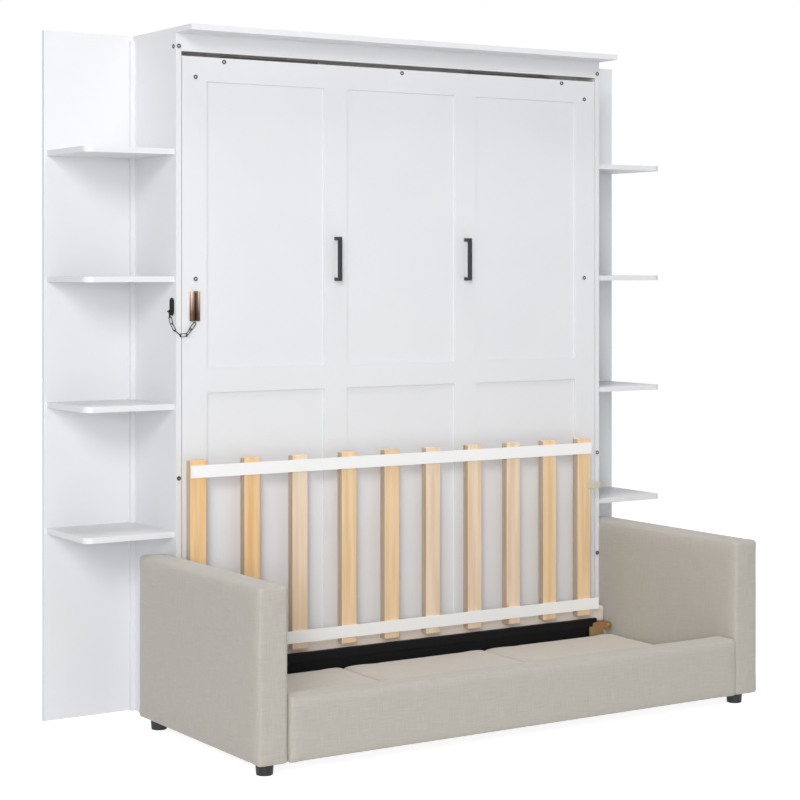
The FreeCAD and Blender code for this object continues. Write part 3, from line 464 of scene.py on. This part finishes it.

# Bolt heads on the face and the panel edges: nickel plated, each with a round recess for the key.
# The rim is dull, and the floor of the recess is bright steel as a painted highlight. One head is made
# and copied to each bolt.
nickel, flow = new_finish("nickel")
rub = noise(flow, place(flow, 1.0, 1.0, 1.0), 500.0, 3.0)
tone = blend_colours(flow, rub, (0.07, 0.073, 0.08, 1.0), (0.17, 0.175, 0.185, 1.0))
close_finish(flow, Base_Color=tone, Metallic=1.0, Roughness=0.25 + rub * 0.2)


def bolt_boxes(node):
    """Lists the corners of each bolt's box, from a merged copy of the node that is then deleted."""
    select_only(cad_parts[node])
    bpy.ops.object.duplicate()
    bpy.ops.object.mode_set(mode="EDIT")
    bpy.ops.mesh.select_all(action="SELECT")
    bpy.ops.mesh.remove_doubles(threshold=0.00001)
    bpy.ops.mesh.separate(type="LOOSE")
    bpy.ops.object.mode_set(mode="OBJECT")
    boxes = []
    for disc in bpy.context.selected_objects:
        corners = [corner.co for corner in disc.data.vertices]
        low = Vector([min(corner[axis] for corner in corners) for axis in range(3)])
        high = Vector([max(corner[axis] for corner in corners) for axis in range(3)])
        boxes.append((low, high))
    bpy.ops.object.delete()
    return sorted(boxes, key=lambda box: tuple(box[0]))


def keyed_head(across, thick):
    """Makes a bolt head at the origin that faces up, with a rim, a flat and a recess."""
    bpy.ops.object.select_all(action="DESELECT")
    bpy.ops.mesh.primitive_cylinder_add(vertices=36, radius=across / 2, depth=thick)
    head = bpy.context.object
    bpy.ops.object.mode_set(mode="EDIT")
    bpy.ops.mesh.select_mode(type="FACE")
    bpy.ops.mesh.select_all(action="DESELECT")
    bpy.ops.object.mode_set(mode="OBJECT")
    for face in head.data.polygons:
        face.select = face.normal.z > 0.9
    bpy.ops.object.mode_set(mode="EDIT")
    bpy.ops.mesh.inset(thickness=across * 0.07, depth=thick * -0.15)
    bpy.ops.mesh.inset(thickness=across * 0.18, depth=0.0)
    bpy.ops.mesh.inset(thickness=across * 0.03, depth=thick * -0.45)
    bpy.ops.object.mode_set(mode="OBJECT")
    head.data.materials.append(nickel)
    head.data.materials.append(bright_steel)
    # The floor of the recess, still selected, gets bright steel as a painted highlight.
    for face in head.data.polygons:
        face.material_index = 1 if face.select else 0
    return head


low, high = bolt_boxes("face_bolts")[0]
pattern = keyed_head(high.z - low.z, high.y - low.y)
for name, body in (("cabinet_bolts", "base"), ("face_bolts", "bed")):
    heads = []
    for low, high in bolt_boxes(name):
        outward = Vector((0.0, -1.0, 0.0))
        if high.x - low.x < high.y - low.y:
            outward = Vector((math.copysign(1.0, low.x), 0.0, 0.0))
        select_only(pattern)
        bpy.ops.object.duplicate()
        head = bpy.context.object
        head.rotation_euler = outward.to_track_quat("Z", "Y").to_euler()
        head.location = (low + high) / 2
        bpy.ops.object.transform_apply(location=True, rotation=True, scale=True)
        heads.append(head)
    join_to(heads[0], heads[1:])
    heads[0].name = name + "_keyed"
    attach(heads[0], body)
    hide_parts(name)
select_only(pattern)
bpy.ops.object.delete()

# Chain guard: a bronze plated track on the face, dark oval links and a black hook plate.
# The plating is bright at the track's top and darker towards its foot, with brown blotches of wear.
bronze, flow = new_finish("bronze")
here = place(flow, 1.0, 1.0, 1.0)
wear = noise(flow, here, 60.0, 3.0)
low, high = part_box("chain_track")
height = flow.node("SeparateXYZ", {}, {"Vector": here}, "Z")
rise = flow.node("MapRange", {}, {"Value": height, 1: low.z + (high.z - low.z) * 0.25, 2: high.z})
side = flow.node("SeparateXYZ", {}, {"Vector": here}, "X")
offset = flow.math("ABSOLUTE", side - (low.x + high.x) / 2)
# Painted shade: the middle band of the track, along its slot, is darkened.
slot_painted_shade = flow.math("LESS_THAN", offset, (high.x - low.x) * 0.24)
tone = blend_colours(flow, rise, (0.075, 0.045, 0.03, 1.0), (0.78, 0.56, 0.46, 1.0))
tone = blend_colours(flow, wear * 0.4, tone, (0.30, 0.17, 0.10, 1.0))
tone = blend_colours(flow, slot_painted_shade * 0.75, tone, (0.035, 0.022, 0.016, 1.0))
close_finish(flow, Base_Color=tone, Metallic=0.8, Roughness=0.3 + wear * 0.2)
coat_nodes(bronze, "chain_track")
coat_nodes(black_metal, "chain_hook_plate", "guard_chain_upper", "guard_chain_lower")
for name, body in (("guard_chain_upper", "chain_near"), ("guard_chain_lower", "chain_far")):
    select_only(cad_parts[name])
    bpy.ops.object.duplicate()
    links = bpy.context.object
    links.name = name + "_round"
    bpy.ops.object.mode_set(mode="EDIT")
    bpy.ops.mesh.select_all(action="SELECT")
    bpy.ops.mesh.remove_doubles(threshold=0.00001)
    bpy.ops.object.mode_set(mode="OBJECT")
    bpy.ops.object.shade_smooth()
    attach(links, body)
    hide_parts(name)

# Backrest: ten planed pine slats, all cut alike with eased edges, of three tones of wood. They are
# screwed to the foot board behind and to the two white cross rails in front.
upright = (50.0, 50.0, 2.5)
amber = planed_wood("pine_amber", (0.80, 0.54, 0.29, 1.0), (0.70, 0.42, 0.18, 1.0), upright,
                    (0.3, 0.1, 0.2))
honey = planed_wood("pine_honey", (0.80, 0.60, 0.38, 1.0), (0.70, 0.49, 0.27, 1.0), upright,
                    (0.7, 0.4, 0.1))
pale = planed_wood("pine_pale", (0.78, 0.65, 0.51, 1.0), (0.69, 0.53, 0.38, 1.0), upright,
                   (0.2, 0.9, 0.6))
# The slats' sides take a darker wood: painted shade on their flanks.
painted_shade_side = planed_wood("pine_painted_shade_side", (0.50, 0.40, 0.32, 1.0), (0.42, 0.32, 0.24, 1.0), upright,
                    (0.5, 0.2, 0.4))
low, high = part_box("backrest_slats")
ends = sorted({round(corner.co.x, 4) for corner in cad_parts["backrest_slats"].data.vertices})
middle = Vector(((ends[0] + ends[1]) / 2, (low.y + high.y) / 2, (low.z + high.z) / 2))
bpy.ops.object.select_all(action="DESELECT")
bpy.ops.mesh.primitive_cube_add(size=1.0, location=middle)
slat = bpy.context.object
slat.name = "backrest_slats_planed"
slat.scale = (ends[1] - ends[0], high.y - low.y, high.z - low.z)
bpy.ops.object.transform_apply(location=True, rotation=True, scale=True)
round_off(slat, 0.0025, 3, lambda one, two: True)
slats = [slat]
for start in ends[2::2]:
    slats.append(copy_at(slat, Vector((start - ends[0], 0.0, 0.0))))
for piece, wood in zip(slats, (amber, amber, pale, honey, honey, pale, pale, pale, honey, honey)):
    piece.data.materials.append(wood)
    piece.data.materials.append(painted_shade_side)
    # Faces that point sideways get the darker wood, as painted shade.
    for face in piece.data.polygons:
        face.material_index = 1 if abs(face.normal.x) > 0.9 else 0
join_to(slat, slats[1:])
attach(slat, "backrest")
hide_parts("backrest_slats")
# The backrest rails take a lighter copy of the white laminate: painted light on the rails.
rail_white_painted_light = laminate("rail_white_painted_light", (0.80, 0.80, 0.80, 1.0), (0.84, 0.84, 0.84, 1.0))
coat_nodes(rail_white_painted_light, "backrest_rails")

# Foot board of the backrest: a narrow board padded and covered like the sofa, behind the
# slats' feet. It stands on the hinge arms.
# The foot board's cover is the linen made much lighter: painted light in the shade under the slats.
foot_linen_painted_light = woven("foot_linen_painted_light", (0.62, 0.55, 0.49), (0.68, 0.61, 0.55), (0.74, 0.67, 0.61),
                   (0.70, 0.61, 0.53))
low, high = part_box("backrest_foot_board")
swell = Vector((0.001, 0.001, 0.001))
foot_board = foam_block("foot_board_cover", low + swell, high - swell, 0.003, 0.008, 0.003)
plump(foot_board, 0.005, 0.002, low, high)
upholster(foot_board, "backrest_foot_board", "backrest", foot_linen_painted_light)

# Catch strap: a short length of cream webbing, stapled to the last slat, that reaches over to the
# cabinet side. It bows out a little between its ends.
webbing, flow = new_finish("webbing")
here = flow.node("TexCoord", {}, {}, "Object")
rib_pitch = 0.0026
pick_pitch = 0.0016
across = flow.node("SeparateXYZ", {}, {"Vector": here}, "Z") * (math.tau / rib_pitch)
along = flow.node("SeparateXYZ", {}, {"Vector": here}, "X") * (math.tau / pick_pitch)
ribs = flow.math("SINE", across) * 0.5 + 0.5
picks = flow.math("SINE", along) * 0.5 + 0.5
tone = blend_colours(flow, ribs * picks, (0.52, 0.48, 0.37, 1.0), (0.68, 0.64, 0.52, 1.0))
relief = flow.node("Bump", {}, {"Strength": 0.5, "Distance": 0.0005, "Height": ribs * picks})
close_finish(flow, Base_Color=tone, Roughness=0.85, Normal=relief)
strap_thick = 0.0014
strap_bow = 0.001
low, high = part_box("catch_strap")
bpy.ops.object.select_all(action="DESELECT")
bpy.ops.mesh.primitive_grid_add(x_subdivisions=30, y_subdivisions=12, size=1.0)
strap = bpy.context.object
strap.name = "catch_strap_webbing"
strap.scale = (high.x - low.x, high.z - low.z, 1.0)
strap.rotation_euler = (math.pi / 2, 0.0, 0.0)
strap.location = ((low.x + high.x) / 2, high.y - 0.0015, (low.z + high.z) / 2)
bpy.ops.object.transform_apply(location=True, rotation=True, scale=True)
for corner in strap.data.vertices:
    share = (corner.co.x - low.x) / (high.x - low.x)
    corner.co.y -= strap_bow * math.sin(math.pi * share)
wall = strap.modifiers.new("thickness", "SOLIDIFY")
wall.thickness = strap_thick
wall.offset = 0.0
bpy.ops.object.modifier_apply(modifier="thickness")
bpy.ops.object.shade_smooth()
strap.data.materials.append(webbing)
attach(strap, "backrest")
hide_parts("catch_strap")

# Studio: a pale floor and a white backdrop, a large key lamp from the front left, a fill lamp behind
# the camera, one high over the sofa, and the camera.
def seen_rays(flow):
    """One for what the camera, a mirror or glass sees directly, and nought for scattered light."""
    camera = flow.node("LightPath", {}, {}, "Is Camera Ray")
    glossy = flow.node("LightPath", {}, {}, "Is Glossy Ray")
    through = flow.node("LightPath", {}, {}, "Is Transmission Ray")
    return flow.math("MAXIMUM", flow.math("MAXIMUM", camera, glossy), through)


bpy.ops.object.select_all(action="DESELECT")
bpy.ops.mesh.primitive_plane_add(size=40.0)
floor = bpy.context.object
floor.name = "studio_floor"
floor_white, flow = new_finish("floor_white")
ray = seen_rays(flow)
matt = flow.node("BsdfDiffuse", {}, {"Color": (0.9, 0.9, 0.9, 1.0)})
glow = flow.node("Emission", {}, {"Color": (1.0, 1.0, 1.0, 1.0), "Strength": 1.75})
mixed = flow.node("MixShader", {}, {0: ray * 0.5, 1: matt, 2: glow})
flow.node("OutputMaterial", {}, {"Surface": mixed})
floor.data.materials.append(floor_white)
floor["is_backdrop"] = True


def soft_lamp(name, at, aim, size, power):
    bpy.ops.object.light_add(type="AREA", location=at)
    lamp = bpy.context.object
    lamp.name = name
    lamp.data.shape = "DISK"
    lamp.data.size = size
    lamp.data.energy = power
    lamp.rotation_euler = (Vector(aim) - Vector(at)).to_track_quat("-Z", "Y").to_euler()


soft_lamp("key_lamp", (-9.0, -10.5, 6.5), (0.0, 0.0, 0.6), 5.0, 900.0)
soft_lamp("fill_lamp", (-7.0, -10.3, 2.1), (0.0, 0.0, 0.9), 3.0, 460.0)
soft_lamp("high_lamp", (-0.6, -1.2, 9.0), (0.0, -0.3, 0.3), 4.0, 350.0)

world = bpy.data.worlds.new("studio_world")
bpy.context.scene.world = world
world.use_nodes = True
world.node_tree.nodes.clear()
flow = Flow(world.node_tree)
seen = seen_rays(flow)
sky = flow.node("Background", {}, {"Color": (1.0, 1.0, 1.0, 1.0), "Strength": seen * 0.72 + 0.28})
flow.node("OutputWorld", {}, {"Surface": sky})
bpy.context.scene.view_settings.view_transform = "Standard"

# The camera's place, turn and lens were solved from edges that were measured in the photograph.
bpy.ops.object.camera_add(location=(-3.7155, -5.5464, 1.4499))
camera = bpy.context.object
camera.rotation_euler = (math.pi / 2, 0.0, -math.radians(32.808))
camera.data.lens = 90.74
camera.data.sensor_width = 36.0
camera.data.shift_x = 0.001
camera.data.shift_y = -0.1624
camera.data.clip_end = 100.0
bpy.context.scene.camera = camera

low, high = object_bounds()
